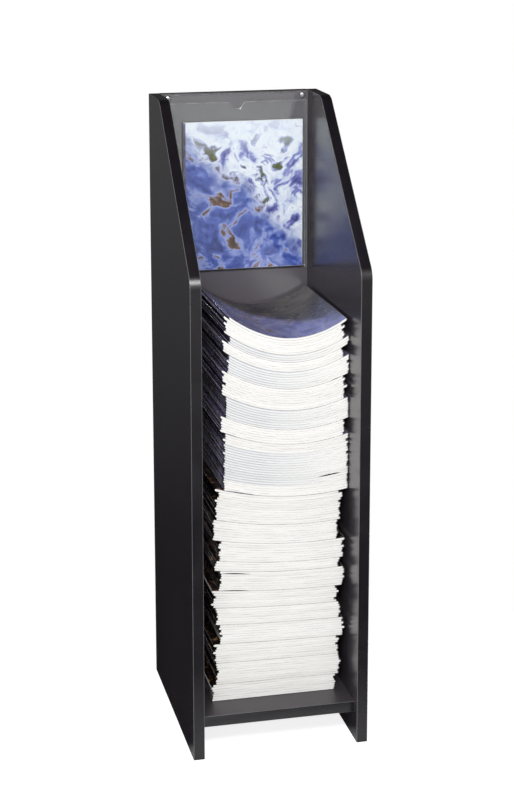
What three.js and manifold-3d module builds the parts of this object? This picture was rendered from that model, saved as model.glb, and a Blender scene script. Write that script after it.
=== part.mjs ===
// Floor-standing periodical rack: black laminated boards, a clear folded pocket for one display copy,
// and a pile of loose copies on the bottom shelf. Millimetres, +Z up, +X to the viewer's right,
// the open front faces -Y. The origin is on the floor, under the middle of the rack.
import * as THREE from 'three';
import { mergeVertices } from 'three/addons/utils/BufferGeometryUtils.js';
import Module from 'manifold-3d';

const wasm = await Module();
wasm.setup();

// One periodical, lying in the pile
const copyWidth = 218;
const copyLength = 267;
const copyThickness = 4.18;
const noseDepth = 2; // a copy's folded spine and its open edge taper to a nose this deep

// The pile, from the shelf up: copies in each bundle, and its gap to the right side panel
const bundles = [
  { copies: 7, gap: 21 },
  { copies: 9, gap: 13.5 },
  { copies: 8, gap: 17 },
  { copies: 8, gap: 7 },
  { copies: 7, gap: 14 },
  { copies: 7, gap: 20 },
  { copies: 8, gap: 7.5 },
  { copies: 4, gap: 16.5 },
  { copies: 8, gap: 9.5 },
  { copies: 8, gap: 20 },
  { copies: 12, gap: 14.5 },
  { copies: 22, gap: 4 },
  { copies: 6, gap: 9 },
  { copies: 8, gap: 4 },
  { copies: 9, gap: 8.5 },
  { copies: 7, gap: 4 },
  { copies: 4, gap: 12 },
  { copies: 3, gap: 4.5 },
  { copies: 6, gap: 11 },
];
const topCopyGap = 5; // from the top copy to the right side panel
const sheetGap = 0.3; // air between two bundles
const jogStep = 0.5; // copies of one bundle lie in steps to either side
const jogReach = 2; // steps to either side
const topSag = 36; // dip in the middle of the top copy
const sagGrowth = 2.1; // power by which the dip grows with height
const leanRise = 9; // how much the spines on the left lift the pile
const leanFade = 2.9; // the lift grows more slowly with height, and would stop at half of this share
const frontRise = 4; // the top copy's front edge above its rear edge

// Boards and their edge bands
const board = 19;
const edgeBand = 1;
const glueLine = 0.2;

// Room round the copies, which sets the rack's width and depth
const sideRoom = 49;
const frontRoom = 67;
const rearRoom = 13;

// Heights and outline of the side panels
const toeSpace = 51.5; // floor to the shelf's underside
const shelfSetback = 13.5;
const slopeRise = 260;
const topDepth = 102; // depth of the flat top, to the sharp corner
const cornerRadius = 30;
const rearRadius = 2.5;

// Display pocket, folded from one clear sheet, and the copy in it
const sheet = 3;
const foldRadius = 2.5;
const displayThickness = 5;
const displayShift = 12; // the copy stands this far right of the middle
const displayGap = 0.4; // the copy clears the front sheet and the fold by this much
const headRoom = 0.3; // the copy clears the screw heads by this much when it is lifted out
const pocketSideRoom = 36;
const pocketOverPile = 20; // from the pile's highest rear corner to the fold
const frontLip = 34; // front sheet above the copy
const backLip = 14; // back sheet above the front sheet
const pocketBelowTop = 2; // back sheet below the back panel's top edge
const notchTop = 28;
const notchBottom = 10;
const notchDepth = 12;

// Domed screws that hold the pocket
const headDiameter = 10;
const headHeight = 2.6;
const shankDiameter = 3.5;
const screwInBoard = 12;
const screwInset = 5.5; // from the sheet's side edge to the screw
const screwDrop = 5.5; // from the sheet's top edge to the screw
const screwClearance = 0.3;

// Dowels between the boards
const dowelDiameter = 8;
const dowelInFace = 12; // depth in a board's face
const dowelInEdge = 23; // depth in a board's edge
const dowelChamfer = 1;
const dowelClearance = 0.25;
const dowelInset = 60; // from a shelf's or a back panel's end to its first dowel

// Fineness
const sagStrips = 14; // flat strips that make a copy's curve
const roundSides = 12; // sides of a dowel, a screw or a hole
const cornerSteps = 8; // straight steps in a rounded corner
const cutOver = 1; // a cut runs past the face by this much

// Derived places
const bayWidth = copyWidth + sideRoom;
const bayRight = bayWidth / 2;
const rackWidth = bayWidth + 2 * board;
const rackDepth = frontRoom + copyLength + rearRoom + board;
const frontY = -rackDepth / 2;
const rearY = rackDepth / 2;
const backFrontY = rearY - board; // the back panel's front face
const pileFrontY = frontY + frontRoom;
const pileRearY = pileFrontY + copyLength;
const shelfTop = toeSpace + board;

const copiesInBundles = bundles.reduce((sum, bundle) => sum + bundle.copies, 0);
const pileLevel = (copiesInBundles + 1) * copyThickness;
const sagCentre = sideRoom / 2; // the middle of a copy pushed against the right side

// Depth of the dip at a level, between the top copy's edges and the middle
function sagAt(level) {
  return topSag * (level / pileLevel) ** sagGrowth;
}

// A dipped copy keeps its own width along the curve, so it spans a little less
function copySpan(level) {
  return copyWidth - (8 * sagAt(level) ** 2) / (3 * copyWidth);
}

const topSpan = copySpan(pileLevel);
const topLeft = bayRight - topCopyGap - topSpan;

// Height over the shelf, at the pile's rear, of the sheet that lies at a level in the middle
function pileHeight(level, x) {
  const share = level / pileLevel;
  const lean = leanRise * share * (leanFade - share);
  const across = (x - sagCentre) / (topSpan / 2);
  return level + sagAt(level) * across ** 2 - (lean * across) / 2;
}

function pileFrontRise(level) {
  return (frontRise * level) / pileLevel;
}

const pileRearTop = shelfTop + pileHeight(pileLevel, topLeft);

const pocketWidth = copyWidth + pocketSideRoom;
const slot = displayGap + displayThickness + headRoom + headHeight + screwClearance;
const pocketBottom = pileRearTop + pocketOverPile;
const copyInFold = Math.max(0, foldRadius - displayGap); // the copy's edge stands on the fold's rounding
const displaySeat = foldRadius - Math.sqrt(foldRadius ** 2 - copyInFold ** 2) + displayGap;
const displayBottom = pocketBottom + sheet + displaySeat;
const pocketFrontTop = displayBottom + copyLength + frontLip;
const pocketBackTop = pocketFrontTop + backLip;
const rackHeight = pocketBackTop + pocketBelowTop;
const kinkHeight = rackHeight - slopeRise;
const pocketRearY = backFrontY - glueLine;
const slotRearY = pocketRearY - sheet;
const slotFrontY = slotRearY - slot;
const pocketFrontY = slotFrontY - sheet;

// Finishes
const laminate = { color: 0x2b292c, roughness: 0.38, metalness: 0 };
const bandBlack = { color: 0x1d1b1e, roughness: 0.3, metalness: 0 };
const clearAcrylic = { color: 0xdfe6ea, roughness: 0.05, metalness: 0, transparent: true, opacity: 0.3 };
const chromed = { color: 0xd8dade, roughness: 0.12, metalness: 1 };
const beech = { color: 0xc8a26e, roughness: 0.7, metalness: 0 };
const coverStock = { color: 0x2a2d55, roughness: 0.25, metalness: 0 };
const pageStock = { color: 0xeeede8, roughness: 0.85, metalness: 0 };

const rack = new THREE.Group();

function addPiece(name, geometry, finish) {
  const mesh = new THREE.Mesh(geometry, new THREE.MeshStandardMaterial(finish));
  mesh.name = name;
  rack.add(mesh);
  return mesh;
}

function solidOf(geometry) {
  const bare = geometry.clone();
  bare.deleteAttribute('normal');
  bare.deleteAttribute('uv');
  const merged = mergeVertices(bare, 1e-4);
  const vertProperties = new Float32Array(merged.attributes.position.array);
  const triVerts = new Uint32Array(merged.index.array);
  return new wasm.Manifold(new wasm.Mesh({ numProp: 3, vertProperties, triVerts }));
}

function cut(geometry, tools) {
  let solid = solidOf(geometry);
  for (const tool of tools) solid = solid.subtract(solidOf(tool));
  const mesh = solid.getMesh();
  const result = new THREE.BufferGeometry();
  result.setAttribute('position', new THREE.BufferAttribute(new Float32Array(mesh.vertProperties), 3));
  result.setIndex(new THREE.BufferAttribute(new Uint32Array(mesh.triVerts), 1));
  result.computeVertexNormals();
  return result;
}

function boxBetween(low, high) {
  const geometry = new THREE.BoxGeometry(high[0] - low[0], high[1] - low[1], high[2] - low[2]);
  return geometry.translate((low[0] + high[0]) / 2, (low[1] + high[1]) / 2, (low[2] + high[2]) / 2);
}

// Points of an outline whose corners are [across, up, radius], with round corners as arcs
function roundedPoints(corners) {
  const points = [];
  corners.forEach(([across, up, radius], index) => {
    const corner = new THREE.Vector2(across, up);
    if (!radius) {
      points.push(corner);
      return;
    }
    const before = corners[(index + corners.length - 1) % corners.length];
    const after = corners[(index + 1) % corners.length];
    const toBefore = new THREE.Vector2(before[0], before[1]).sub(corner).normalize();
    const toAfter = new THREE.Vector2(after[0], after[1]).sub(corner).normalize();
    const half = Math.acos(toBefore.dot(toAfter)) / 2;
    const middle = toBefore.clone().add(toAfter).normalize();
    const centre = corner.clone().addScaledVector(middle, radius / Math.sin(half));
    const start = corner.clone().addScaledVector(toBefore, radius / Math.tan(half)).sub(centre);
    const end = corner.clone().addScaledVector(toAfter, radius / Math.tan(half)).sub(centre);
    const clockwise = start.cross(end) < 0;
    const arc = new THREE.ArcCurve(centre.x, centre.y, radius, start.angle(), end.angle(), clockwise);
    points.push(...arc.getPoints(cornerSteps));
  });
  return points;
}

// Extrudes an outline drawn in Y and Z along X
function extrudeAlongX(points, lowX, highX) {
  const options = { depth: highX - lowX, bevelEnabled: false };
  const geometry = new THREE.ExtrudeGeometry(new THREE.Shape(points), options);
  const basis = new THREE.Matrix4().makeBasis(
    new THREE.Vector3(0, 1, 0),
    new THREE.Vector3(0, 0, 1),
    new THREE.Vector3(1, 0, 0),
  );
  return geometry.applyMatrix4(basis).translate(lowX, 0, 0);
}

// Side panel outline from its front foot over the top to its rear foot, drawn in by an inset
function sidePoints(inset) {
  const slopeRun = rackDepth - topDepth;
  const slopeLength = Math.hypot(slopeRun, slopeRise);
  const kinkDrop = (inset * (slopeLength - slopeRise)) / slopeRun;
  const topShift = (inset * (slopeLength - slopeRun)) / slopeRise;
  const inner = (radius) => Math.max(0, radius - inset);
  return roundedPoints([
    [frontY + inset, 0, 0],
    [frontY + inset, kinkHeight - kinkDrop, inner(cornerRadius)],
    [rearY - topDepth + topShift, rackHeight - inset, inner(cornerRadius)],
    [rearY - inset, rackHeight - inset, inner(rearRadius)],
    [rearY - inset, 0, 0],
  ]);
}

// Sets a solid of revolution, drawn along Y, along X or Y with its middle at a point
function setAlong(geometry, axis, middle) {
  if (axis === 'x') geometry.rotateZ(-Math.PI / 2);
  return geometry.translate(middle.x, middle.y, middle.z);
}

function boreAlong(axis, diameter, length, middle) {
  const geometry = new THREE.CylinderGeometry(diameter / 2, diameter / 2, length, roundSides);
  return setAlong(geometry, axis, middle);
}

// Dowels: where each crosses the joint, and which way it points from the face into the edge
const shelfDowelYs = [frontY + shelfSetback + dowelInset, backFrontY - dowelInset];
const backDowelZs = [toeSpace + dowelInset, (toeSpace + rackHeight) / 2, rackHeight - dowelInset];
const shelfMidZ = toeSpace + board / 2;
const backMidY = rearY - board / 2;
const shelfRearDowelX = bayRight - dowelInset;
const dowels = [];
for (const [side, sign] of [['left', 1], ['right', -1]]) {
  shelfDowelYs.forEach((y, index) => {
    const place = new THREE.Vector3(-sign * bayRight, y, shelfMidZ);
    dowels.push({ name: `shelf_dowel_${side}_${index + 1}`, place, axis: 'x', sign, joins: [side, 'shelf'] });
  });
  backDowelZs.forEach((z, index) => {
    const place = new THREE.Vector3(-sign * bayRight, backMidY, z);
    dowels.push({ name: `back_dowel_${side}_${index + 1}`, place, axis: 'x', sign, joins: [side, 'back'] });
  });
  const place = new THREE.Vector3(-sign * shelfRearDowelX, backFrontY, shelfMidZ);
  dowels.push({ name: `shelf_rear_dowel_${side}`, place, axis: 'y', sign: -1, joins: ['back', 'shelf'] });
}

function dowelMiddle(dowel) {
  const middle = dowel.place.clone();
  middle[dowel.axis] += (dowel.sign * (dowelInEdge - dowelInFace)) / 2;
  return middle;
}

function dowelSolid(dowel) {
  const radius = dowelDiameter / 2;
  const half = (dowelInFace + dowelInEdge) / 2;
  const profile = [
    new THREE.Vector2(0, -half),
    new THREE.Vector2(radius - dowelChamfer, -half),
    new THREE.Vector2(radius, -half + dowelChamfer),
    new THREE.Vector2(radius, half - dowelChamfer),
    new THREE.Vector2(radius - dowelChamfer, half),
    new THREE.Vector2(0, half),
  ];
  return setAlong(new THREE.LatheGeometry(profile, roundSides), dowel.axis, dowelMiddle(dowel));
}

function boresIn(boardName) {
  const boreDiameter = dowelDiameter + 2 * dowelClearance;
  const boreLength = dowelInFace + dowelInEdge + 2 * dowelClearance;
  const met = dowels.filter((dowel) => dowel.joins.includes(boardName));
  return met.map((dowel) => boreAlong(dowel.axis, boreDiameter, boreLength, dowelMiddle(dowel)));
}

// Side panels, each with one band round its front, slope, top and rear
const sideBores = { left: boresIn('left'), right: boresIn('right') };
for (const [side, lowX] of [['left', -rackWidth / 2], ['right', bayRight]]) {
  const core = extrudeAlongX(sidePoints(edgeBand + glueLine), lowX, lowX + board);
  addPiece(`side_panel_${side}`, cut(core, sideBores[side]), laminate);
  const strip = [...sidePoints(0), ...sidePoints(edgeBand).reverse()];
  addPiece(`edge_band_${side}`, extrudeAlongX(strip, lowX, lowX + board), bandBlack);
}

// Screws of the pocket, one in each top corner of its back sheet
const screwX = pocketWidth / 2 - screwInset;
const screwZ = pocketBackTop - screwDrop;
const screws = [
  { name: 'pocket_screw_left', x: -screwX },
  { name: 'pocket_screw_right', x: screwX },
];

// The screw's hole, through the sheet into the board
function screwHole(screw) {
  const from = slotRearY - screwClearance;
  const to = backFrontY + screwInBoard + screwClearance;
  const middle = new THREE.Vector3(screw.x, (from + to) / 2, screwZ);
  return boreAlong('y', shankDiameter + 2 * screwClearance, to - from, middle);
}

// Back panel between the sides, banded along its top edge
const boardLow = -bayRight + glueLine;
const boardHigh = bayRight - glueLine;
const backCore = boxBetween(
  [boardLow, backFrontY, toeSpace],
  [boardHigh, rearY, rackHeight - edgeBand - glueLine],
);
addPiece('back_panel', cut(backCore, [...boresIn('back'), ...screws.map(screwHole)]), laminate);
const backBand = boxBetween([boardLow, backFrontY, rackHeight - edgeBand], [boardHigh, rearY, rackHeight]);
addPiece('back_edge_band', backBand, bandBlack);

// Bottom shelf between the sides, banded along its front edge
const shelfFrontY = frontY + shelfSetback;
const shelfCore = boxBetween(
  [boardLow, shelfFrontY + edgeBand + glueLine, toeSpace],
  [boardHigh, backFrontY - glueLine, shelfTop],
);
addPiece('bottom_shelf', cut(shelfCore, boresIn('shelf')), laminate);
const shelfBand = boxBetween(
  [boardLow, shelfFrontY, toeSpace],
  [boardHigh, shelfFrontY + edgeBand, shelfTop],
);
addPiece('shelf_edge_band', shelfBand, bandBlack);

for (const dowel of dowels) addPiece(dowel.name, dowelSolid(dowel), beech);

// Display pocket: a U folded from one sheet, with a thumb notch and two screw holes
const pocketOutline = roundedPoints([
  [pocketRearY, pocketBackTop, 0],
  [slotRearY, pocketBackTop, 0],
  [slotRearY, pocketBottom + sheet, foldRadius],
  [slotFrontY, pocketBottom + sheet, foldRadius],
  [slotFrontY, pocketFrontTop, 0],
  [pocketFrontY, pocketFrontTop, 0],
  [pocketFrontY, pocketBottom, foldRadius + sheet],
  [pocketRearY, pocketBottom, foldRadius + sheet],
]);
const pocketBlank = extrudeAlongX(pocketOutline, -pocketWidth / 2, pocketWidth / 2);
const notchSlant = (notchTop - notchBottom) / 2 / notchDepth;
const notchShape = new THREE.Shape([
  new THREE.Vector2(-notchBottom / 2, -notchDepth),
  new THREE.Vector2(notchBottom / 2, -notchDepth),
  new THREE.Vector2(notchTop / 2 + notchSlant * cutOver, cutOver),
  new THREE.Vector2(-notchTop / 2 - notchSlant * cutOver, cutOver),
]);
const notch = new THREE.ExtrudeGeometry(notchShape, { depth: sheet + 2 * cutOver, bevelEnabled: false });
notch.rotateX(Math.PI / 2).translate(0, slotFrontY + cutOver, pocketFrontTop);
addPiece('display_pocket', cut(pocketBlank, [notch, ...screws.map(screwHole)]), clearAcrylic);

// Domed screws
for (const screw of screws) {
  const seat = slotRearY - screwClearance;
  const tip = backFrontY + screwInBoard;
  const headRadius = headDiameter / 2;
  const domeRadius = (headRadius ** 2 + headHeight ** 2) / (2 * headHeight);
  const domeTurn = Math.asin(headRadius / domeRadius);
  const profile = [new THREE.Vector2(0, -headHeight)];
  for (const share of [0.25, 0.5, 0.75, 1]) {
    const turn = domeTurn * share;
    const rise = domeRadius * (1 - Math.cos(turn)) - headHeight;
    profile.push(new THREE.Vector2(domeRadius * Math.sin(turn), rise));
  }
  profile.push(new THREE.Vector2(shankDiameter / 2, 0));
  profile.push(new THREE.Vector2(shankDiameter / 2, tip - seat - shankDiameter));
  profile.push(new THREE.Vector2(0, tip - seat));
  const turned = new THREE.LatheGeometry(profile, roundSides);
  addPiece(screw.name, turned.translate(screw.x, seat, screwZ), chromed);
}

// Display copy, standing in the pocket with its rounded spine on the left
const displayFrontY = slotFrontY + displayGap;
const displayLeft = displayShift - copyWidth / 2;
const displayOutline = roundedPoints([
  [displayLeft, displayFrontY, noseDepth],
  [displayLeft + copyWidth, displayFrontY, 0],
  [displayLeft + copyWidth, displayFrontY + displayThickness, 0],
  [displayLeft, displayFrontY + displayThickness, noseDepth],
]);
const displayBlank = new THREE.ExtrudeGeometry(new THREE.Shape(displayOutline), {
  depth: copyLength,
  bevelEnabled: false,
});
addPiece('display_copy', displayBlank.translate(0, 0, displayBottom), coverStock);

// A stretch of the pile: its under side, its right edges, its top and its left edges, as the levels
// over the shelf at which its sheets lie in the middle of the pile
function pileOutline(firstCopy, copies, gap) {
  const edges = [];
  for (let copy = firstCopy; copy < firstCopy + copies; copy += 1) {
    const low = copy * copyThickness + (copy === firstCopy ? sheetGap : 0);
    const high = (copy + 1) * copyThickness;
    const shuffled = (copy * 7) % (2 * jogReach + 1) - jogReach;
    const jog = copies > 1 ? jogStep * shuffled : 0;
    const right = bayRight - gap + jog;
    edges.push({ low, high, right, left: right - copySpan(high) });
  }
  const noses = edges.map(({ low, high, left, right }) => ({
    right: [
      { x: right - noseDepth, level: low },
      { x: right, level: (low + high) / 2 },
      { x: right - noseDepth, level: high },
    ],
    left: [
      { x: left + noseDepth, level: high },
      { x: left, level: (low + high) / 2 },
      { x: left + noseDepth, level: low },
    ],
  }));
  const flatInset = 2 * noseDepth + 2 * jogReach * jogStep; // the flat strips end inside every nose
  const across = ({ left, right }, level) => {
    const from = left + flatInset;
    const step = (right - flatInset - from) / sagStrips;
    return Array.from({ length: sagStrips + 1 }, (_, strip) => ({ x: from + step * strip, level }));
  };
  const lowest = edges[0];
  const highest = edges[copies - 1];
  return {
    under: across(lowest, lowest.low),
    right: noses.flatMap((nose) => nose.right),
    over: across(highest, highest.high).reverse(),
    left: noses.reverse().flatMap((nose) => nose.left),
  };
}

// A stretch of the pile as one solid, from its rear outline to its slightly higher front outline
function pilePart({ under, right, over, left }) {
  const corners = [...under, ...right, ...over, ...left];
  const rear = corners.map(({ x, level }) => new THREE.Vector2(x, shelfTop + pileHeight(level, x)));
  const count = corners.length;
  const overStart = under.length + right.length;
  const leftStart = overStart + over.length;
  const faces = [];
  for (let strip = 0; strip < sagStrips; strip += 1) {
    const overNext = leftStart - 2 - strip;
    faces.push([strip, strip + 1, overNext], [strip, overNext, overNext + 1]);
  }
  const rightEnd = Array.from({ length: right.length + 2 }, (_, k) => under.length - 1 + k);
  const leftEnd = Array.from({ length: left.length + 2 }, (_, k) => (leftStart - 1 + k) % count);
  for (const end of [rightEnd, leftEnd]) {
    const outline = end.map((corner) => rear[corner]);
    for (const face of THREE.ShapeUtils.triangulateShape(outline, [])) faces.push(face.map((k) => end[k]));
  }
  const positions = [];
  rear.forEach((point) => positions.push(point.x, pileRearY, point.y));
  rear.forEach((point, corner) => {
    positions.push(point.x, pileFrontY, point.y + pileFrontRise(corners[corner].level));
  });
  const triangles = [];
  for (const [a, b, c] of faces) {
    triangles.push(a, c, b);
    triangles.push(a + count, b + count, c + count);
  }
  for (let corner = 0; corner < count; corner += 1) {
    const next = (corner + 1) % count;
    triangles.push(corner, next, next + count);
    triangles.push(corner, next + count, corner + count);
  }
  const geometry = new THREE.BufferGeometry();
  geometry.setAttribute('position', new THREE.Float32BufferAttribute(positions, 3));
  geometry.setIndex(triangles);
  geometry.computeVertexNormals();
  return geometry;
}

// The pile: bundles from the shelf up, and the single top copy
let copiesBelow = 0;
bundles.forEach(({ copies, gap }, index) => {
  const name = `bundle_${String(index + 1).padStart(2, '0')}`;
  addPiece(name, pilePart(pileOutline(copiesBelow, copies, gap)), pageStock);
  copiesBelow += copies;
});
addPiece('top_copy', pilePart(pileOutline(copiesBelow, 1, topCopyGap)), coverStock);

export default rack;
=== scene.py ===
import math
import random

import bmesh
import bpy
from mathutils import Matrix, Vector


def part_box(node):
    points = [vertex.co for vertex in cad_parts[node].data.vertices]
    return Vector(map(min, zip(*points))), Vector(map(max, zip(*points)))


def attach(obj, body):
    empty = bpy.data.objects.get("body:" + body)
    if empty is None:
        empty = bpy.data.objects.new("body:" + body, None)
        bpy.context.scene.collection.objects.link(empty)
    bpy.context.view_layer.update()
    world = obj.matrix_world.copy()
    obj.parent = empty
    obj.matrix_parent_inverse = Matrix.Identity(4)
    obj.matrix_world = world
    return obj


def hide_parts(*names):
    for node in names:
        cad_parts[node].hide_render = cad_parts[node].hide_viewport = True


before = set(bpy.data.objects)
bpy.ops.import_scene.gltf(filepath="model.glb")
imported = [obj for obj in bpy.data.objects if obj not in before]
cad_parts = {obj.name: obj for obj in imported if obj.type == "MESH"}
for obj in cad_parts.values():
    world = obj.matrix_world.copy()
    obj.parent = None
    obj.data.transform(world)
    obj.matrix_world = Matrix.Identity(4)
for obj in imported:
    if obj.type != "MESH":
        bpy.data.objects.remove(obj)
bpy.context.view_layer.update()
bpy.ops.object.select_all(action="DESELECT")

# Camera
# It stands in front of the rack, a little to the left and above its top, and looks slightly down.
# A long lens keeps the uprights nearly parallel. All sizes here are metres.
camera_place = (-0.687, -2.953, 1.480)
camera_turn = math.radians(12.653)
camera_tilt = math.radians(11.818)
camera_roll = math.radians(-0.162)
focal_pixels = 1810.4
image_height = 792
sensor_side = 36

bpy.ops.object.camera_add()
camera = bpy.context.active_object
camera.name = "photo_camera"
camera.data.sensor_width = sensor_side
camera.data.lens = focal_pixels * sensor_side / image_height
camera.data.shift_x = 0.0178
camera.data.shift_y = -0.19
camera.matrix_world = (
    Matrix.Translation(camera_place)
    @ Matrix.Rotation(-camera_turn, 4, "Z")
    @ Matrix.Rotation(math.pi / 2 - camera_tilt, 4, "X")
    @ Matrix.Rotation(camera_roll, 4, "Z")
)
bpy.context.scene.camera = camera

# Side panels
# Two upright boards of particle board faced with black satin laminate, straight in front up to a
# kink and sloped back above it. Dowelled and glued to the shelf and to the back panel.
band_thickness = 0.001
glue_line = 0.0002
slope_rise = 0.260
top_depth = 0.102
corner_radius = 0.030
rear_radius = 0.0025
corner_steps = 10


def block(name, low, high):
    """A cube set at its size and place, ready to be shaped."""
    bpy.ops.object.select_all(action="DESELECT")
    bpy.ops.mesh.primitive_cube_add(size=1, location=(Vector(low) + Vector(high)) / 2)
    piece = bpy.context.active_object
    piece.name = name
    piece.data.name = name
    piece.scale = Vector(high) - Vector(low)
    bpy.ops.object.transform_apply(location=True, rotation=True, scale=True)
    return piece


def edit(piece):
    """Makes a piece the only selected one and opens it in edit mode."""
    bpy.ops.object.select_all(action="DESELECT")
    piece.select_set(True)
    bpy.context.view_layer.objects.active = piece
    bpy.ops.object.mode_set(mode="EDIT")


def leave_edit():
    bpy.ops.object.mode_set(mode="OBJECT")


def pick(piece, kind, test):
    """Selects the edges or faces of the piece in edit mode that pass a test, and nothing else."""
    bpy.ops.mesh.select_mode(type=kind)
    bpy.ops.mesh.select_all(action="DESELECT")
    mesh = bmesh.from_edit_mesh(piece.data)
    for part in {"EDGE": mesh.edges, "FACE": mesh.faces}[kind]:
        part.select_set(test(part))
    mesh.select_flush_mode()
    bmesh.update_edit_mesh(piece.data)


def middle(edge):
    return (edge.verts[0].co + edge.verts[1].co) / 2


def runs_along(edge, axis):
    """True for an edge that is parallel to an axis, 0 for X, 1 for Y and 2 for Z."""
    return abs((edge.verts[0].co - edge.verts[1].co).normalized()[axis]) > 0.999


def apply_modifiers(piece):
    bpy.context.view_layer.objects.active = piece
    for modifier in list(piece.modifiers):
        bpy.ops.object.modifier_apply(modifier=modifier.name)


def cut_with(piece, tool):
    """Cuts a piece with a tool shape, which is then removed."""
    modifier = piece.modifiers.new("cut", "BOOLEAN")
    modifier.operation = "DIFFERENCE"
    modifier.solver = "EXACT"
    modifier.object = tool
    apply_modifiers(piece)
    bpy.data.objects.remove(tool)


def smooth(piece, degrees=30):
    bpy.ops.object.select_all(action="DESELECT")
    piece.select_set(True)
    bpy.context.view_layer.objects.active = piece
    bpy.ops.object.shade_smooth_by_angle(angle=math.radians(degrees))


def hand_over(piece, body, slot, node, *materials):
    """Gives a finished piece its materials and sets it in place of its solid."""
    for material in materials[len(piece.data.materials):]:
        piece.data.materials.append(material)
    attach(piece, body)
    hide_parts(node)


def side_blank(name, side, inset, over=0.0):
    """A side panel's outline, drawn in by an inset, as a board with round corners."""
    low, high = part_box(f"edge_band_{side}")
    kink = Vector((0, low.y, high.z - slope_rise))
    top = Vector((0, high.y - top_depth, high.z))
    slope = (top - kink).normalized()
    outward = Vector((0, -slope.z, slope.y))
    blank = block(
        name,
        low + Vector((-over, inset, -over)),
        high + Vector((over, -inset, -inset)),
    )
    edit(blank)
    bpy.ops.mesh.select_all(action="SELECT")
    bpy.ops.mesh.bisect(plane_co=kink - outward * inset, plane_no=outward, use_fill=True, clear_outer=True)
    kink_turn = math.atan2(slope.y, slope.z)
    corners = [
        (kink, corner_radius, kink_turn),
        (top, corner_radius, math.pi / 2 - kink_turn),
        (Vector((0, high.y, high.z)), rear_radius, math.pi / 2),
    ]
    for corner, radius, turn in corners:
        reach = 4 * inset + radius / 10

        def at_corner(edge):
            place = middle(edge)
            place.x = 0
            return runs_along(edge, 0) and (place - corner).length < reach

        pick(blank, "EDGE", at_corner)
        bpy.ops.mesh.bevel(
            offset=max(radius - inset, radius / 4) * math.tan(turn / 2),
            segments=corner_steps,
            affect="EDGES",
        )
    leave_edit()
    return blank


def put(tree, kind, inputs=(), **settings):
    """Adds a shader node. Its inputs are plain values, or the sockets that feed them."""
    made = tree.nodes.new(kind)
    for name, value in settings.items():
        setattr(made, name, value)
    for name, value in dict(inputs).items():
        if isinstance(value, bpy.types.NodeSocket):
            tree.links.new(value, made.inputs[name])
        else:
            made.inputs[name].default_value = value
    return made


def ramp(tree, factor, stops):
    """A colour ramp, with stops given as (place, colour)."""
    made = put(tree, "ShaderNodeValToRGB", {"Fac": factor})
    elements = made.color_ramp.elements
    while len(elements) < len(stops):
        elements.new(1.0)
    for element, (place, colour) in zip(elements, stops):
        element.position = place
        element.color = (*colour, 1.0)
    return made.outputs["Color"]


def new_material(name):
    """A material with its node tree, its shader and the piece's own coordinates."""
    material = bpy.data.materials.new(name)
    material.use_nodes = True
    tree = material.node_tree
    place = put(tree, "ShaderNodeTexCoord").outputs["Object"]
    return material, tree, tree.nodes["Principled BSDF"], place


def make_handling():
    """Shared effect: the soft smears that hands and cloths leave, and a fine moulded grain."""
    tree = bpy.data.node_groups.new("Handling marks", "ShaderNodeTree")
    tree.interface.new_socket("Vector", in_out="INPUT", socket_type="NodeSocketVector")
    for name, value in [("Smear Scale", 9.0), ("Grain Scale", 900.0)]:
        socket = tree.interface.new_socket(name, in_out="INPUT", socket_type="NodeSocketFloat")
        socket.default_value = value
    tree.interface.new_socket("Smear", in_out="OUTPUT", socket_type="NodeSocketFloat")
    tree.interface.new_socket("Grain", in_out="OUTPUT", socket_type="NodeSocketFloat")
    given = put(tree, "NodeGroupInput")
    smear = put(
        tree,
        "ShaderNodeTexNoise",
        {
            "Vector": given.outputs["Vector"],
            "Scale": given.outputs["Smear Scale"],
            "Detail": 5.0,
            "Roughness": 0.55,
            "Distortion": 0.6,
        },
    )
    grain = put(
        tree,
        "ShaderNodeTexNoise",
        {"Vector": given.outputs["Vector"], "Scale": given.outputs["Grain Scale"], "Detail": 2.0},
    )
    put(tree, "NodeGroupOutput", {"Smear": smear.outputs["Fac"], "Grain": grain.outputs["Fac"]})
    return tree


handling = make_handling()


def mark(tree, shader, place, dull, spread, smear_scale, grain_scale, relief):
    """Puts handling marks on a shader: a roughness of dull, give or take spread, and a grain of that
    relief."""
    marks = put(
        tree,
        "ShaderNodeGroup",
        {"Vector": place, "Smear Scale": smear_scale, "Grain Scale": grain_scale},
        node_tree=handling,
    )
    rough = put(
        tree,
        "ShaderNodeMapRange",
        {
            "Value": marks.outputs["Smear"],
            "From Min": 0.3,
            "From Max": 0.7,
            "To Min": dull - spread,
            "To Max": dull + spread,
        },
    )
    tree.links.new(rough.outputs["Result"], shader.inputs["Roughness"])
    bump = put(
        tree,
        "ShaderNodeBump",
        {"Height": marks.outputs["Grain"], "Strength": 0.35, "Distance": relief},
    )
    tree.links.new(bump.outputs["Normal"], shader.inputs["Normal"])
    return marks.outputs["Smear"]


def make_laminate(name, dull, dark, light):
    """Black satin laminate, a little uneven in gloss from wiping."""
    material, tree, shader, place = new_material(name)
    smear = mark(tree, shader, place, dull, 0.012, 7.0, 700.0, 0.000002)
    tree.links.new(ramp(tree, smear, [(0.25, dark), (0.75, light)]), shader.inputs["Base Color"])
    shader.inputs["IOR"].default_value = 1.65
    return material


laminate = make_laminate("black_laminate", 0.26, (0.042, 0.036, 0.044), (0.047, 0.040, 0.049))

for side in ("left", "right"):
    panel = side_blank(f"panel_{side}", side, band_thickness + glue_line)
    smooth(panel)
    hand_over(panel, "rack", "black_laminate", f"side_panel_{side}", laminate)

# Edge bands
# Strips of black plastic, glued round the front, slope, top and rear edges of each side panel and
# rounded over along both arrises, which are a lighter grey: partly handling wear, partly a painted
# highlight.
arris = 0.0008
cut_over = 0.005


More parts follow.
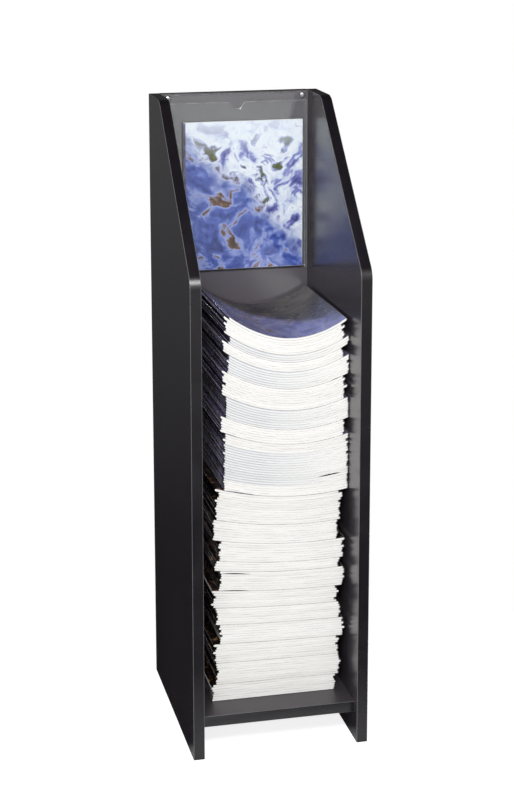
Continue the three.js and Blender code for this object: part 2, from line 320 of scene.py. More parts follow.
def make_band(name, shade, dull):
    material, tree, shader, place = new_material(name)
    smear = mark(tree, shader, place, dull, 0.05, 11.0, 1100.0, 0.00002)
    light = tuple(1.35 * channel for channel in shade)
    tree.links.new(ramp(tree, smear, [(0.3, shade), (0.75, light)]), shader.inputs["Base Color"])
    shader.inputs["IOR"].default_value = 1.65
    return material


band_plastic = make_band("band_plastic", (0.006, 0.005, 0.0068), 0.26)
# The arrises' lighter grey is partly handling wear, partly a painted highlight.
arris_wear_and_highlight = make_band("arris_wear_and_highlight", (0.12, 0.115, 0.12), 0.4)


def mark_arris_wear_and_highlight(piece, is_arris):
    """Gives the faces of the rounded arrises the second material, the lighter grey of wear and painted
    highlight.
    """
    for face in piece.data.polygons:
        face.material_index = 1 if is_arris(face) else 0


for side in ("left", "right"):
    band = side_blank(f"band_{side}", side, 0.0)
    edit(band)
    pick(
        band,
        "EDGE",
        lambda edge: sum(abs(face.normal.x) > 0.99 for face in edge.link_faces) == 1,
    )
    bpy.ops.mesh.bevel(offset=arris, segments=3, affect="EDGES")
    leave_edit()
    cut_with(band, side_blank("band_core", side, band_thickness, cut_over))
    smooth(band, 12)
    hand_over(band, "rack", "edge_band", f"edge_band_{side}", band_plastic, arris_wear_and_highlight)
    mark_arris_wear_and_highlight(band, lambda face: 0.2 < abs(face.normal.x) < 0.98)

# Back panel
# One board between the side panels, from the shelf's underside to the top, of the same laminate painted a
# lighter grey as painted light.
# Its top edge has a strip of the same band.
board_edge = 0.0003


def board(name, node, edge_width, segments):
    """A plain board or strip in place of its solid, with its arrises eased."""
    low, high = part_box(node)
    piece = block(name, low, high)
    edit(piece)
    bpy.ops.mesh.select_all(action="SELECT")
    bpy.ops.mesh.bevel(offset=edge_width, segments=segments, affect="EDGES")
    leave_edit()
    smooth(piece, 15)
    return piece


def is_eased(face):
    return max(abs(part) for part in face.normal) < 0.98


strip_edge = 0.0004
back = board("back_board", "back_panel", board_edge, 2)
# The back panel's copy of the laminate is painted lighter: painted light.
lit_laminate = make_laminate("lit_laminate", 0.26, (0.080, 0.072, 0.083), (0.087, 0.078, 0.090))
hand_over(back, "rack", "black_laminate", "back_panel", lit_laminate)
back_strip = board("back_strip", "back_edge_band", strip_edge, 3)
hand_over(back_strip, "rack", "edge_band", "back_edge_band", band_plastic, arris_wear_and_highlight)
mark_arris_wear_and_highlight(back_strip, is_eased)

# Bottom shelf
# One board between the side panels, two fingers above the floor, set back from their front edges.
# Its front edge has a strip of the same band.
shelf = board("shelf_board", "bottom_shelf", board_edge, 2)
# The shelf's laminate is rougher from scuffing and painted darker: painted shade.
shaded_scuffed_laminate = make_laminate("shaded_scuffed_laminate", 0.42, (0.036, 0.031, 0.036), (0.044, 0.038, 0.044))
hand_over(shelf, "rack", "black_laminate", "bottom_shelf", shaded_scuffed_laminate)
shelf_strip = board("shelf_strip", "shelf_edge_band", strip_edge, 3)
hand_over(shelf_strip, "rack", "edge_band", "shelf_edge_band", band_plastic, arris_wear_and_highlight)
mark_arris_wear_and_highlight(shelf_strip, is_eased)


# Dowels
# Short round pins of beech, glued into the boards. They are hidden, so the solids stay as they are
# and only get the look of cut wood.
def make_beech():
    material, tree, shader, place = new_material("beech")
    stretched = put(tree, "ShaderNodeMapping", {"Vector": place, "Scale": (60.0, 500.0, 500.0)})
    grain = put(
        tree,
        "ShaderNodeTexNoise",
        {"Vector": stretched.outputs["Vector"], "Scale": 1.0, "Detail": 4.0},
    )
    tint = ramp(tree, grain.outputs["Fac"], [(0.3, (0.42, 0.25, 0.12)), (0.7, (0.62, 0.42, 0.24))])
    tree.links.new(tint, shader.inputs["Base Color"])
    shader.inputs["Roughness"].default_value = 0.65
    return material


beech = make_beech()
for name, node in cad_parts.items():
    if "_dowel_" in name:
        node.data.materials.clear()
        node.data.materials.append(beech)

# Display pocket
# One sheet of clear acrylic, 3 mm thick, folded into a flat U that is open at the top and the sides,
# with a thumb notch in its front lip. Screwed to the back panel through its taller back sheet.
sheet = 0.003
fold_radius = 0.0055
back_lip = 0.014
notch_top = 0.028
notch_bottom = 0.010
notch_depth = 0.012
polish = 0.00035
pocket_low, pocket_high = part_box("display_pocket")
pocket_middle = (pocket_low + pocket_high) / 2
front_top = pocket_high.z - back_lip


def make_acrylic():
    """Clear acrylic. Lamps shine through it, and a faint haze of fine scratches dulls it in places."""
    material, tree, shader, place = new_material("clear_acrylic")
    mark(tree, shader, place, 0.03, 0.02, 14.0, 300.0, 0.0000005)
    shader.inputs["Base Color"].default_value = (0.97, 0.985, 0.98, 1.0)
    shader.inputs["IOR"].default_value = 1.49
    shader.inputs["Transmission Weight"].default_value = 1.0
    clear = put(tree, "ShaderNodeBsdfTransparent", {"Color": (0.95, 0.96, 0.96, 1.0)})
    path = put(tree, "ShaderNodeLightPath")
    passes = put(
        tree,
        "ShaderNodeMath",
        {0: path.outputs["Is Shadow Ray"], 1: path.outputs["Is Diffuse Ray"]},
        operation="MAXIMUM",
    )
    mixed = put(
        tree,
        "ShaderNodeMixShader",
        {0: passes.outputs["Value"], 1: shader.outputs["BSDF"], 2: clear.outputs["BSDF"]},
    )
    tree.links.new(mixed.outputs["Shader"], tree.nodes["Material Output"].inputs["Surface"])
    return material


def make_edge_highlight():
    """The sheet's sawn and buffed edges, painted a pale white as a highlight so that they show as pale
    lines.
    """
    material, tree, shader, place = new_material("acrylic_edge_highlight")
    mark(tree, shader, place, 0.28, 0.08, 60.0, 2500.0, 0.00001)
    shader.inputs["Base Color"].default_value = (0.80, 0.83, 0.84, 1.0)
    shader.inputs["IOR"].default_value = 1.49
    shader.inputs["Transmission Weight"].default_value = 0.35
    return material


pocket = block("pocket", pocket_low, pocket_high)
edit(pocket)
pick(pocket, "FACE", lambda face: abs(face.normal.x) > 0.9 or face.normal.z > 0.9)
bpy.ops.mesh.delete(type="FACE")
pick(pocket, "EDGE", lambda edge: runs_along(edge, 0) and middle(edge).z < pocket_low.z + sheet)
bpy.ops.mesh.bevel(offset=fold_radius, segments=8, affect="EDGES")
pick(
    pocket,
    "EDGE",
    lambda edge: runs_along(edge, 0)
    and middle(edge).y < pocket_middle.y
    and middle(edge).z > front_top,
)
bpy.ops.transform.translate(value=(0, 0, front_top - pocket_high.z))
leave_edit()
wall = pocket.modifiers.new("wall", "SOLIDIFY")
wall.thickness = sheet
wall.offset = -1
wall.use_even_offset = True
apply_modifiers(pocket)

notch = block(
    "notch",
    (-notch_top / 2, pocket_low.y - sheet, front_top - notch_depth),
    (notch_top / 2, pocket_low.y + 2 * sheet, front_top),
)
edit(notch)
pick(notch, "FACE", lambda face: face.normal.z < -0.9)
bpy.ops.transform.resize(
    value=(notch_bottom / notch_top, 1, 1),
    center_override=(0, pocket_low.y, front_top - notch_depth),
)
pick(notch, "FACE", lambda face: face.normal.z > 0.9)
bpy.ops.mesh.extrude_region_move(TRANSFORM_OT_translate={"value": (0, 0, sheet)})
leave_edit()
cut_with(pocket, notch)

screw_hole = 0.0041
screw_places = {
    side: (sum(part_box(f"pocket_screw_{side}"), Vector()) / 2) for side in ("left", "right")
}
for place in screw_places.values():
    bpy.ops.object.select_all(action="DESELECT")
    bpy.ops.mesh.primitive_cylinder_add(
        vertices=32,
        radius=screw_hole / 2,
        depth=4 * sheet,
        location=(place.x, pocket_high.y, place.z),
        rotation=(math.pi / 2, 0, 0),
    )
    cut_with(pocket, bpy.context.active_object)
polished = pocket.modifiers.new("polish", "BEVEL")
polished.width = polish
polished.segments = 2
polished.limit_method = "ANGLE"
polished.angle_limit = math.radians(40)
apply_modifiers(pocket)
smooth(pocket, 15)
hand_over(pocket, "rack", "clear_acrylic", "display_pocket", make_acrylic(), make_edge_highlight())
# Sides and cut edges take the pale edge material: a painted highlight.
for face in pocket.data.polygons:
    on_fold = face.center.z < pocket_low.z + 2 * fold_radius
    on_side = abs(face.normal.x) > 0.5
    face.material_index = 1 if on_side or (abs(face.normal.z) > 0.5 and not on_fold) else 0

# Pocket screws
# Two domed screws of bright nickel-plated steel with a cross recess, one in each top corner of the
# pocket's back sheet. They go through the sheet into the back panel.
head_radius = 0.005
shank_radius = 0.00175
recess_width = 0.0011
recess_length = 0.0052
recess_depth = 0.0012
head_gap = 0.0003


def make_nickel():
    material, tree, shader, place = new_material("bright_nickel")
    mark(tree, shader, place, 0.14, 0.05, 400.0, 4000.0, 0.000005)
    shader.inputs["Base Color"].default_value = (0.78, 0.78, 0.80, 1.0)
    shader.inputs["Metallic"].default_value = 1.0
    return material


nickel = make_nickel()
for side, place in screw_places.items():
    low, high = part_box(f"pocket_screw_{side}")
    seat = pocket_high.y - sheet - head_gap
    bpy.ops.object.select_all(action="DESELECT")
    bpy.ops.mesh.primitive_cylinder_add(
        vertices=32,
        radius=head_radius,
        depth=seat - low.y,
        location=(place.x, (seat + low.y) / 2, place.z),
        rotation=(math.pi / 2, 0, 0),
    )
    screw = bpy.context.active_object
    screw.name = f"screw_{side}"
    screw.data.name = screw.name
    bpy.ops.object.transform_apply(location=True, rotation=True, scale=True)
    edit(screw)
    pick(screw, "FACE", lambda face: face.normal.y > 0.9)
    bpy.ops.mesh.inset(thickness=head_radius - shank_radius, depth=0)
    shank = high.y - seat - 2 * shank_radius
    bpy.ops.mesh.extrude_region_move(TRANSFORM_OT_translate={"value": (0, shank, 0)})
    bpy.ops.mesh.extrude_region_move(TRANSFORM_OT_translate={"value": (0, 2 * shank_radius, 0)})
    bpy.ops.transform.resize(value=(0.1, 1, 0.1), center_override=(place.x, high.y, place.z))
    pick(screw, "EDGE", lambda edge: abs(middle(edge).y - low.y) < 1e-5)
    bpy.ops.mesh.bevel(offset=0.9 * (seat - low.y), segments=6, affect="EDGES")
    leave_edit()
    for across, up in [(recess_length, recess_width), (recess_width, recess_length)]:
        slot = block(
            "recess",
            (place.x - across / 2, low.y - recess_depth, place.z - up / 2),
            (place.x + across / 2, low.y + recess_depth, place.z + up / 2),
        )
        cut_with(screw, slot)
    smooth(screw, 40)
    hand_over(screw, "rack", "bright_screw", f"pocket_screw_{side}", nickel)

# Display copy
# One stapled periodical, standing in the pocket with its spine on the left: a block of trimmed pages
# in a glossy cover that is folded round the spine. The cover's print is a plain marbled pattern.
copy_width = 0.218
copy_length = 0.267
copy_thickness = 0.00418
spine_nose = 0.002
fore_nose = 0.0013
page_ease = 0.0005
page_cuts = 19


def flat_copy(name, thickness, cuts):
    """A copy lying flat, its spine along x = 0 and its foot along y = 0. The open edge tapers to a
    blunt wedge, as the inner pages of a folded copy stand out furthest."""
    copy = block(
        name,
        (spine_nose, 0, 0),
        (copy_width - fore_nose, copy_length, thickness),
    )
    edit(copy)
    pick(copy, "EDGE", lambda edge: runs_along(edge, 0))
    bpy.ops.mesh.subdivide(number_cuts=cuts)
    pick(
        copy,
        "EDGE",
        lambda edge: runs_along(edge, 0)
        and min(middle(edge).y, copy_length - middle(edge).y) < 1e-5
        and min(middle(edge).z, thickness - middle(edge).z) < 1e-5,
    )
    bpy.ops.mesh.bevel(offset=page_ease, segments=1, affect="EDGES")
    steps = [(-1, spine_nose, [(0.6, 0.78), (0.4, 0.42)]), (1, fore_nose, [(1.0, 0.4)])]
    for way, nose, rings in steps:
        pick(copy, "FACE", lambda face: face.normal.x * way > 0.9)
        for share, flatten in rings:
            bpy.ops.mesh.extrude_region_move(
                TRANSFORM_OT_translate={"value": (way * share * nose, 0, 0)}
            )
            bpy.ops.transform.resize(
                value=(1, 1, flatten),
                center_override=(0, copy_length / 2, thickness / 2),
            )
    leave_edit()
    mesh = copy.data
    print_map = mesh.uv_layers[0] if mesh.uv_layers else mesh.uv_layers.new()
    print_map.name = "print"
    for loop in mesh.loops:
        place = mesh.vertices[loop.vertex_index].co
        print_map.data[loop.index].uv = (place.x / copy_width, place.y / copy_length)
    through = mesh.attributes.new("through", "FLOAT", "POINT")
    for vertex in mesh.vertices:
        through.data[vertex.index].value = vertex.co.z / thickness
    for face in mesh.polygons:
        on_spine = face.center.x < spine_nose and abs(face.normal.y) < 0.5
        on_cover = abs(face.normal.z) > 0.9 and face.center.x < copy_width - fore_nose
        face.material_index = 0 if on_spine or on_cover else 1
    return copy


def set_look(mesh, shade, inked=0.0, browned=0.0, dim=0.0):
    """Writes what sets one copy apart: its shade, a random tone that also picks the copies whose spine
    fold carries a painted glint, how much its trimmed edge is inked, how brown its spine is and how dim
    its print: 0 as shown in the pocket, 0.5 darkened as painted shade and reflection, 0.75 the same
    inside a dark rim, 1 plain dark."""
    for name, value in [("shade", shade), ("inked", inked), ("browned", browned), ("dim", dim)]:
        look = mesh.attributes.new(name, "FLOAT", "POINT")
        look.data.foreach_set("value", [value] * len(mesh.vertices))


def read(tree, name):
    return put(tree, "ShaderNodeAttribute", attribute_name=name).outputs["Fac"]


def mix(tree, factor, first, second):
    """Mixes two colours, each a colour or a socket."""
    return put(
        tree,
        "ShaderNodeMix",
        {0: factor, 6: first, 7: second},
        data_type="RGBA",
    ).outputs[2]


def math_node(tree, operation, first, second=0.0, third=0.0, clamp=False):
    return put(
        tree,
        "ShaderNodeMath",
        {0: first, 1: second, 2: third},
        operation=operation,
        use_clamp=clamp,
    ).outputs["Value"]


def put_stretched(tree, place):
    """The same coordinates, drawn out across the page, for long streaks."""
    return put(tree, "ShaderNodeMapping", {"Vector": place, "Scale": (14.0, 70.0, 1.0)}).outputs["Vector"]


def make_cover():
    """Glossy coated cover stock, printed with marbled swirls of pale sky, blue and violet, veined with
    brown and green. A plain dark strip runs along the spine, with a pale painted glint along the fold on
    some copies. On copies lying in the pile the print is darker: painted shade and reflection."""
    material, tree, shader, place = new_material("cover_print")
    print_map = put(tree, "ShaderNodeUVMap", uv_map="print").outputs["UV"]
    flat = put(
        tree,
        "ShaderNodeMapping",
        {"Vector": print_map, "Scale": (copy_width, copy_length, 1.0)},
    ).outputs["Vector"]
    stir = put(tree, "ShaderNodeTexNoise", {"Vector": flat, "Scale": 11.0, "Detail": 3.0})
    stirred = put(
        tree,
        "ShaderNodeVectorMath",
        {0: stir.outputs["Color"], 1: (0.5, 0.5, 0.5)},
        operation="SUBTRACT",
    )
    pushed = put(
        tree,
        "ShaderNodeVectorMath",
        {0: stirred.outputs["Vector"], 1: (0.16, 0.16, 0.16)},
        operation="MULTIPLY",
    )
    swirled = put(
        tree,
        "ShaderNodeVectorMath",
        {0: flat, 1: pushed.outputs["Vector"]},
        operation="ADD",
    ).outputs["Vector"]
    veins = put(
        tree,
        "ShaderNodeTexNoise",
        {"Vector": swirled, "Scale": 24.0, "Detail": 6.0, "Roughness": 0.55},
    ).outputs["Fac"]
    pale = ramp(
        tree,
        veins,
        [
            (0.30, (0.05, 0.05, 0.22)),
            (0.39, (0.20, 0.21, 0.52)),
            (0.45, (0.62, 0.68, 0.84)),
            (0.55, (0.86, 0.88, 0.92)),
            (0.60, (0.36, 0.40, 0.70)),
            (0.64, (0.05, 0.07, 0.02)),
            (0.69, (0.20, 0.19, 0.03)),
        ],
    )
    deep = ramp(
        tree,
        veins,
        [
            (0.30, (0.008, 0.012, 0.07)),
            (0.40, (0.030, 0.055, 0.27)),
            (0.48, (0.075, 0.12, 0.44)),
            (0.56, (0.30, 0.36, 0.68)),
            (0.61, (0.16, 0.075, 0.035)),
            (0.67, (0.035, 0.018, 0.010)),
        ],
    )
    parts = put(tree, "ShaderNodeSeparateXYZ", {"Vector": swirled})
    slant = math_node(tree, "MULTIPLY_ADD", parts.outputs["X"], 0.9, -0.03)
    rise = math_node(tree, "ADD", slant, parts.outputs["Y"])
    upper = put(
        tree,
        "ShaderNodeMapRange",
        {"Value": rise, "From Min": 0.17, "From Max": 0.24},
    ).outputs["Result"]
    streaks = put(
        tree,
        "ShaderNodeTexNoise",
        {"Vector": put_stretched(tree, flat), "Scale": 1.0, "Detail": 3.0},
    ).outputs["Fac"]
    # Dark streaks for the print of copies lying in the pile: painted shade and reflection.
    dark = ramp(
        tree,
        streaks,
        [
            (0.38, (0.004, 0.004, 0.009)),
            (0.47, (0.018, 0.017, 0.034)),
            (0.54, (0.09, 0.072, 0.056)),
            (0.60, (0.010, 0.010, 0.018)),
        ],
    )
    print_parts = put(tree, "ShaderNodeSeparateXYZ", {"Vector": print_map})
    head = put(
        tree,
        "ShaderNodeMapRange",
        {"Value": print_parts.outputs["Y"], "From Min": 0.78, "From Max": 1.0, "To Max": 0.8},
    ).outputs["Result"]
    pale = mix(tree, head, pale, (0.80, 0.84, 0.91, 1.0))
    lilac = mix(tree, 0.45, deep, (0.30, 0.27, 0.42, 1.0))
    # Copies lying in the pile get this darker print: painted shade and reflection.
    lying = mix(tree, upper, lilac, dark)
    dim = math_node(tree, "MULTIPLY", read(tree, "dim"), 2.0, clamp=True)
    art = mix(tree, dim, mix(tree, upper, deep, pale), lying)
    spine = put(
        tree,
        "ShaderNodeMapRange",
        {"Value": print_parts.outputs["X"], "From Min": 0.016, "From Max": 0.020},
    ).outputs["Result"]
    flecks = put(tree, "ShaderNodeTexNoise", {"Vector": place, "Scale": 80.0, "Detail": 3.0})
    navy = ramp(
        tree,
        flecks.outputs["Fac"],
        [(0.40, (0.055, 0.047, 0.06)), (0.62, (0.15, 0.13, 0.26))],
    )
    brown = ramp(
        tree,
        flecks.outputs["Fac"],
        [(0.46, (0.005, 0.004, 0.004)), (0.60, (0.028, 0.016, 0.010)), (0.69, (0.34, 0.18, 0.08))],
    )
    ground = mix(tree, read(tree, "browned"), navy, brown)
    # A pale line along the spine fold of some copies, picked by their shade value: a painted glint.
    on_fold = put(
        tree,
        "ShaderNodeMapRange",
        {
            "Value": math_node(tree, "ABSOLUTE", math_node(tree, "SUBTRACT", read(tree, "through"), 0.5)),
            "From Min": 0.24,
            "From Max": 0.12,
        },
    ).outputs["Result"]
    glint_share = put(
        tree,
        "ShaderNodeMapRange",
        {"Value": read(tree, "shade"), "From Min": 0.3, "From Max": 0.55, "To Max": 1.0},
    ).outputs["Result"]
    behind_end = put(
        tree,
        "ShaderNodeMapRange",
        {"Value": print_parts.outputs["Y"], "From Min": 0.01, "From Max": 0.10, "To Min": 0.15},
    ).outputs["Result"]
    painted_glint = math_node(tree, "MULTIPLY", math_node(tree, "MULTIPLY", on_fold, glint_share), behind_end)
    strip = mix(tree, painted_glint, ground, (0.90, 0.88, 0.92, 1.0))
    rims = [
        put(
            tree,
            "ShaderNodeMapRange",
            {"Value": print_parts.outputs["X"], "From Min": start, "From Max": end},
        ).outputs["Result"]
        for start, end in [(0.085, 0.100), (0.915, 0.900)]
    ]
    depth = math_node(tree, "MULTIPLY", read(tree, "dim"), 4.0)
    inner = math_node(tree, "MULTIPLY", *rims)
    buried = math_node(tree, "SUBTRACT", depth, math_node(tree, "ADD", inner, 2.0), clamp=True)
    art = mix(tree, buried, art, ground)
    tree.links.new(mix(tree, spine, strip, art), shader.inputs["Base Color"])
    mark(tree, shader, place, 0.27, 0.06, 20.0, 1500.0, 0.000006)
    coat = put(
        tree,
        "ShaderNodeMapRange",
        {"Value": read(tree, "dim"), "From Max": 0.5, "To Min": 0.1, "To Max": 0.25},
    )
    tree.links.new(coat.outputs["Result"], shader.inputs["Coat Weight"])
    shader.inputs["Specular IOR Level"].default_value = 0.3
    shader.inputs["Coat Roughness"].default_value = 0.08
    return material


def make_pages():
    """Trimmed page edges: fine sheet lines through the thickness, painted shade along the seams where
    copies meet, a faint ink tint where the printed side runs off the page, and painted deep shade
    between the leaves along the open edge."""
    material, tree, shader, place = new_material("page_edges")
    through = read(tree, "through")
    where = put(tree, "ShaderNodeSeparateXYZ", {"Vector": place})
    drift = put(tree, "ShaderNodeTexNoise", {"Vector": place, "Scale": 22.0, "Detail": 2.0})
    sheets = math_node(tree, "MULTIPLY", through, 20.0)
    wander = math_node(tree, "MULTIPLY", drift.outputs["Fac"], 6.0)
    lines = math_node(tree, "SINE", math_node(tree, "ADD", sheets, wander))
    paper = ramp(
        tree,
        read(tree, "shade"),
        [(0.0, (0.82, 0.81, 0.78)), (0.5, (0.87, 0.86, 0.835)), (1.0, (0.89, 0.88, 0.86))],
    )
    ruling = math_node(tree, "MULTIPLY_ADD", lines, 0.06, 0.06)
    ruled = mix(tree, ruling, paper, (0.55, 0.54, 0.52, 1.0))
    # Painted shade along the seams where one copy meets the next.
    seam_shade = put(
        tree,
        "ShaderNodeMapRange",
        {
            "Value": math_node(tree, "ABSOLUTE", math_node(tree, "SUBTRACT", through, 0.5)),
            "From Min": 0.36,
            "From Max": 0.5,
        },
    ).outputs["Result"]
    stretched = put(tree, "ShaderNodeMapping", {"Vector": place, "Scale": (16.0, 1.0, 230.0)})
    broken = put(tree, "ShaderNodeTexNoise", {"Vector": stretched.outputs["Vector"], "Scale": 1.0})
    strength = put(
        tree,
        "ShaderNodeMapRange",
        {
            "Value": broken.outputs["Fac"],
            "From Min": 0.42,
            "From Max": 0.68,
            "To Min": 0.15,
            "To Max": 0.9,
        },
    ).outputs["Result"]
    ruled = mix(tree, math_node(tree, "MULTIPLY", seam_shade, strength), ruled, (0.36, 0.35, 0.36, 1.0))
    left = put(
        tree,
        "ShaderNodeMapRange",
        {"Value": where.outputs["X"], "From Min": 0.115, "From Max": -0.02},
    ).outputs["Result"]
    bleed = put(
        tree,
        "ShaderNodeMapRange",
        {"Value": through, "From Min": 0.38, "From Max": 0.72},
    ).outputs["Result"]
    inked = math_node(tree, "MULTIPLY", read(tree, "inked"), math_node(tree, "MULTIPLY", left, bleed))
    trimmed = mix(tree, inked, ruled, (0.50, 0.535, 0.58, 1.0))
    across = put(
        tree,
        "ShaderNodeSeparateXYZ",
        {"Vector": put(tree, "ShaderNodeUVMap", uv_map="print").outputs["UV"]},
    ).outputs["X"]
    # Painted deep shade on the open edge, standing for the shade between the leaves.
    open_edge_shade = put(
        tree,
        "ShaderNodeMapRange",
        {"Value": across, "From Min": 0.990, "From Max": 0.996, "To Max": 0.85},
    ).outputs["Result"]
    tree.links.new(mix(tree, open_edge_shade, trimmed, (0.16, 0.15, 0.15, 1.0)), shader.inputs["Base Color"])
    shader.inputs["Roughness"].default_value = 0.85
    bump = put(tree, "ShaderNodeBump", {"Height": lines, "Strength": 0.25, "Distance": 0.00008})
    tree.links.new(bump.outputs["Normal"], shader.inputs["Normal"])
    return material


cover_print = make_cover()
page_edges = make_pages()

display_low, display_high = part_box("display_copy")
shown = flat_copy("shown_copy", display_high.y - display_low.y, page_cuts)
shown.data.transform(
    Matrix.Translation((display_low.x, display_high.y, display_low.z))
    @ Matrix.Rotation(math.pi / 2, 4, "X")
)
set_look(shown.data, 0.5)
smooth(shown, 35)
hand_over(shown, "display_copy", "cover_stock", "display_copy", cover_print, page_edges)

# Pile
# Loose copies on the shelf, in bundles that were set down with a shift to either side. The spines on
# the left are thicker than the open edges, so the pile leans, and its upper copies sag in the middle.
bundles = [
    (7, 0.021),
    (9, 0.0135),
    (8, 0.017),
    (8, 0.007),
    (7, 0.014),
    (7, 0.02),
    (8, 0.0075),
    (4, 0.0165),
    (8, 0.0095),
    (8, 0.02),
    (12, 0.0145),
    (22, 0.004),
    (6, 0.009),
    (8, 0.004),
    (9, 0.0085),
    (7, 0.004),
    (4, 0.012),
    (3, 0.0045),
    (6, 0.011),
]
inked_copies = [(90, 104), (114, 122), (131, 138), (142, 145)]
turned_copies = [(2, 6), (26, 28), (37, 39), (43, 46)]
first_navy_bundle = 12
# The top copy's print is darkened as painted shade and reflection.
shaded_print = 0.5
framed_print = 0.75
slits = [
    (46, 0.006, 0.055, 0.0011),
    (53, 0.006, 0.050, 0.0016),
    (86, 0.004, 0.055, 0.0012),
    (93, 0.168, 0.205, 0.0022),
    (108, 0.006, 0.034, 0.0006),
    (131, 0.188, 0.206, 0.0008),
]
top_gap = 0.005
sheet_gap = 0.0003
jog_step = 0.0005
jog_reach = 2
shuffle = 0.0022
stray = 0.004
stray_chance = 0.07
stray_room = 0.007
near_panel = 0.005
lean_over = 0.0026
panel_room = 0.0005
inked_edge = 0.9
shuffle_seed = 11
top_cuts = 47
top_sag = 0.036
sag_growth = 2.1
sag_centre = 0.0245
lean_rise = 0.009
lean_fade = 2.9
front_rise = 0.004
bay_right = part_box("side_panel_right")[0].x
shelf_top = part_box("bottom_shelf")[1].z
pile_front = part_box("top_copy")[0].y
pile_copies = sum(count for count, gap in bundles) + 1
pile_level = pile_copies * copy_thickness


def sag_at(level):
    return top_sag * (level / pile_level) ** sag_growth


def copy_span(level):
    """A sagging copy keeps its width along the curve, so it spans a little less."""
    return copy_width - 8 * sag_at(level) ** 2 / (3 * copy_width)


def pile_height(level, x):
    """Height over the shelf, at the rear, of the sheet that lies at a level in the middle."""
    share = level / pile_level
    lean = lean_rise * share * (lean_fade - share)
    across = (x - sag_centre) / (copy_span(pile_level) / 2)
    return level + sag_at(level) * across**2 - lean * across / 2


def slit_at(number, along):
    """How far a copy stands off the one below it, where air is caught between them."""
    for copy, start, end, depth in slits:
        if copy == number and start < along < end:
            return depth * math.sin(math.pi * (along - start) / (end - start)) ** 0.5
    return 0.0


def is_among(number, ranges):
    return any(first <= number < last for first, last in ranges)


def lay(mesh, number, low, gap, drift):
    """Bends a flat copy to its place in the pile. number counts from the shelf. A few copies lie turned
    about, with their spines on the right."""
    if is_among(number, turned_copies):
        about = Vector((copy_width / 2, copy_length / 2, 0))
        mesh.transform(
            Matrix.Translation(about)
            @ Matrix.Rotation(math.pi, 4, "Z")
            @ Matrix.Translation(-about)
        )
    high = (number + 1) * copy_thickness
    right = bay_right - gap + drift
    span = copy_span(high)
    for vertex in mesh.vertices:
        x = right - span + span * vertex.co.x / copy_width
        lift = slit_at(number, vertex.co.x) if vertex.co.z < copy_thickness / 2 else 0.0
        level = low + lift + (high - low) * vertex.co.z / copy_thickness
        rise = front_rise * (1 - vertex.co.y / copy_length) * level / pile_level
        z = shelf_top + pile_height(level, x) + rise
        vertex.co = Vector((x, pile_front + vertex.co.y, z))


def join(name, parts):
    bpy.ops.object.select_all(action="DESELECT")
    for part in parts:
        part.select_set(True)
    bpy.context.view_layer.objects.active = parts[0]
    bpy.ops.object.join()
    parts[0].name = name
    parts[0].data.name = name
    return parts[0]


chance = random.Random(shuffle_seed)
flat = flat_copy("flat_copy", copy_thickness, page_cuts)
flat.data.materials.append(cover_print)
flat.data.materials.append(page_edges)
number = 0
for index, (count, gap) in enumerate(bundles, start=1):
    stack = []
    for order in range(count):
        copy = bpy.data.objects.new(f"copy_{number:03d}", flat.data.copy())
        bpy.context.scene.collection.objects.link(copy)
        low = number * copy_thickness + (sheet_gap if order == 0 else 0.0)
        jog = jog_step * ((number * 7) % (2 * jog_reach + 1) - jog_reach)
        drift = jog + chance.uniform(-shuffle, shuffle)
        if chance.random() < stray_chance and gap > stray_room:
            drift += stray
        if gap < near_panel:
            drift = min(drift + lean_over, gap - panel_room)
        lay(copy.data, number, low, gap, drift)
        inked = inked_edge if is_among(number, inked_copies) else 0.0
        browned = 0.0 if index >= first_navy_bundle else 1.0
        dim = framed_print if order == count - 1 else 1.0
        set_look(copy.data, chance.random(), inked, browned, dim)
        stack.append(copy)
        number += 1
    bundle = join(f"copies_{index:02d}", stack)
    smooth(bundle, 40)
    node = f"bundle_{index:02d}"
    hand_over(bundle, node, "page_stock", node, cover_print, page_edges)

top = flat_copy("top_of_pile", copy_thickness, top_cuts)
lay(top.data, number, number * copy_thickness + sheet_gap, top_gap, 0.0)
set_look(top.data, 0.5, dim=shaded_print)
smooth(top, 40)
hand_over(top, "top_copy", "cover_stock", "top_copy", cover_print, page_edges)
bpy.data.objects.remove(flat)

# Floor and light
# A plain white floor that fades into the white surround, and a studio whose light comes from in front:
# a large soft lamp on the left, a small one on the right, a front wall that is bright on the left, and
# dim sides, ceiling and rear, which the black boards mirror. A third lamp shows the back panel.
floor_reach = 0.9
floor_fade = 0.35
floor_white = 0.81
mirrored_reach = 0.20
mirrored_fade = 0.08
mirrored_strength = 0.6


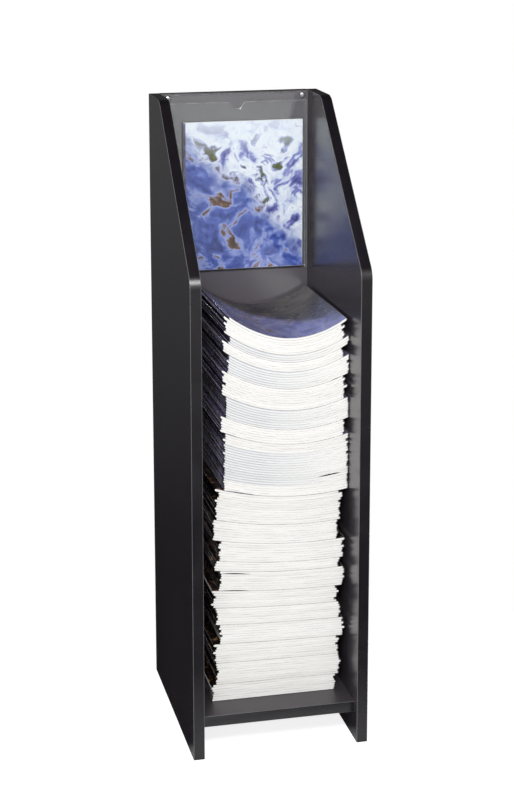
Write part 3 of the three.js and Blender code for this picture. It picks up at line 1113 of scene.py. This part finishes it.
def make_floor():
    """Seen white, with the rack's soft shadow. The boards mirror it only near the rack."""
    material, tree, shader, place = new_material("white_floor")
    shader.inputs["Base Color"].default_value = (0.68, 0.68, 0.68, 1.0)
    shader.inputs["Roughness"].default_value = 0.9
    shader.inputs["Specular IOR Level"].default_value = 0.1
    path = put(tree, "ShaderNodeLightPath")
    direct = math_node(tree, "MAXIMUM", path.outputs["Is Camera Ray"], path.outputs["Is Transmission Ray"])
    seen = math_node(tree, "MAXIMUM", direct, path.outputs["Is Glossy Ray"])
    shader.inputs["Emission Color"].default_value = (1.0, 1.0, 1.0, 1.0)
    tree.links.new(math_node(tree, "MULTIPLY", seen, floor_white), shader.inputs["Emission Strength"])
    far = put(tree, "ShaderNodeVectorMath", {0: place}, operation="LENGTH").outputs["Value"]
    forward = put(tree, "ShaderNodeSeparateXYZ", {"Vector": place}).outputs["Y"]
    fades = [
        put(tree, "ShaderNodeMapRange", {"Value": far, "From Min": reach, "From Max": reach - fade})
        for reach, fade in [(floor_reach, floor_fade), (mirrored_reach + floor_fade, floor_fade)]
    ]
    in_front = put(
        tree,
        "ShaderNodeMapRange",
        {"Value": forward, "From Min": mirrored_fade - mirrored_reach, "From Max": -mirrored_reach},
    ).outputs["Result"]
    mirrored = math_node(tree, "MULTIPLY", in_front, fades[1].outputs["Result"])
    mirrored = math_node(tree, "MULTIPLY", mirrored, mirrored_strength)
    behind = put(
        tree,
        "ShaderNodeMapRange",
        {"Value": forward, "From Min": 0.30, "From Max": 0.0},
    ).outputs["Result"]
    visible = math_node(tree, "MULTIPLY", behind, fades[0].outputs["Result"])
    fade = put(
        tree,
        "ShaderNodeMix",
        {0: path.outputs["Is Glossy Ray"], 2: visible, 3: mirrored},
    ).outputs[0]
    tree.links.new(fade, shader.inputs["Alpha"])
    return material


bpy.ops.object.select_all(action="DESELECT")
bpy.ops.mesh.primitive_circle_add(vertices=96, radius=floor_reach, fill_type="NGON")
floor = bpy.context.active_object
floor.name = "floor"
floor.data.materials.append(make_floor())

world = bpy.context.scene.world or bpy.data.worlds.new("studio")
bpy.context.scene.world = world
world.use_nodes = True
sky = world.node_tree
sky.nodes.clear()
way = put(sky, "ShaderNodeSeparateXYZ", {"Vector": put(sky, "ShaderNodeTexCoord").outputs["Generated"]})
upward = put(
    sky,
    "ShaderNodeMapRange",
    {"Value": way.outputs["Z"], "From Min": -1.0, "From Max": 1.0},
).outputs["Result"]
wall = ramp(
    sky,
    upward,
    [
        (0.32, (0.03, 0.03, 0.032)),
        (0.46, (0.80, 0.80, 0.81)),
        (0.68, (1.0, 1.0, 1.0)),
        (0.85, (0.07, 0.07, 0.072)),
    ],
)
rear = put(
    sky,
    "ShaderNodeMapRange",
    {"Value": way.outputs["Y"], "From Min": -0.9, "From Max": 0.9, "To Min": 1.9, "To Max": 0.2},
).outputs["Result"]
sideways = put(
    sky,
    "ShaderNodeMapRange",
    {"Value": way.outputs["X"], "From Min": -1.0, "From Max": 1.0},
).outputs["Result"]
side_light = ramp(
    sky,
    sideways,
    [
        (0.10, (0.15, 0.15, 0.15)),
        (0.30, (1.0, 1.0, 1.0)),
        (0.46, (1.0, 1.0, 1.0)),
        (0.58, (0.35, 0.35, 0.35)),
        (0.66, (0.22, 0.22, 0.22)),
    ],
)
level = math_node(sky, "MULTIPLY", rear, side_light)
studio_light = put(sky, "ShaderNodeBackground", {"Color": wall, "Strength": level})
white = put(sky, "ShaderNodeBackground", {"Color": (1.0, 1.0, 1.0, 1.0), "Strength": 1.0})
path = put(sky, "ShaderNodeLightPath")
seen = math_node(sky, "MAXIMUM", path.outputs["Is Camera Ray"], path.outputs["Is Transmission Ray"])
surround = put(
    sky,
    "ShaderNodeMixShader",
    {0: seen, 1: studio_light.outputs["Background"], 2: white.outputs["Background"]},
)
put(sky, "ShaderNodeOutputWorld", {"Surface": surround.outputs["Shader"]})

lamp_aim = Vector((0.0, 0.0, 0.65))
lamps = [
    ("key_lamp", (-0.35, -2.0, 2.0), 1.2, 0.7, 54),
    ("kink_lamp", (0.34, -2.0, 2.0), 0.35, 0.6, 2.5),
    ("rear_lamp", (0.4, 2.2, 0.6), 1.0, 0.7, 13),
]
for name, place, width, height, energy in lamps:
    bpy.ops.object.light_add(type="AREA", location=place)
    lamp = bpy.context.active_object
    lamp.name = name
    lamp.data.shape = "RECTANGLE"
    lamp.data.size = width
    lamp.data.size_y = height
    lamp.data.energy = energy
    lamp.rotation_euler = (lamp_aim - Vector(place)).to_track_quat("-Z", "Y").to_euler()

bpy.context.scene.view_settings.view_transform = "Standard"
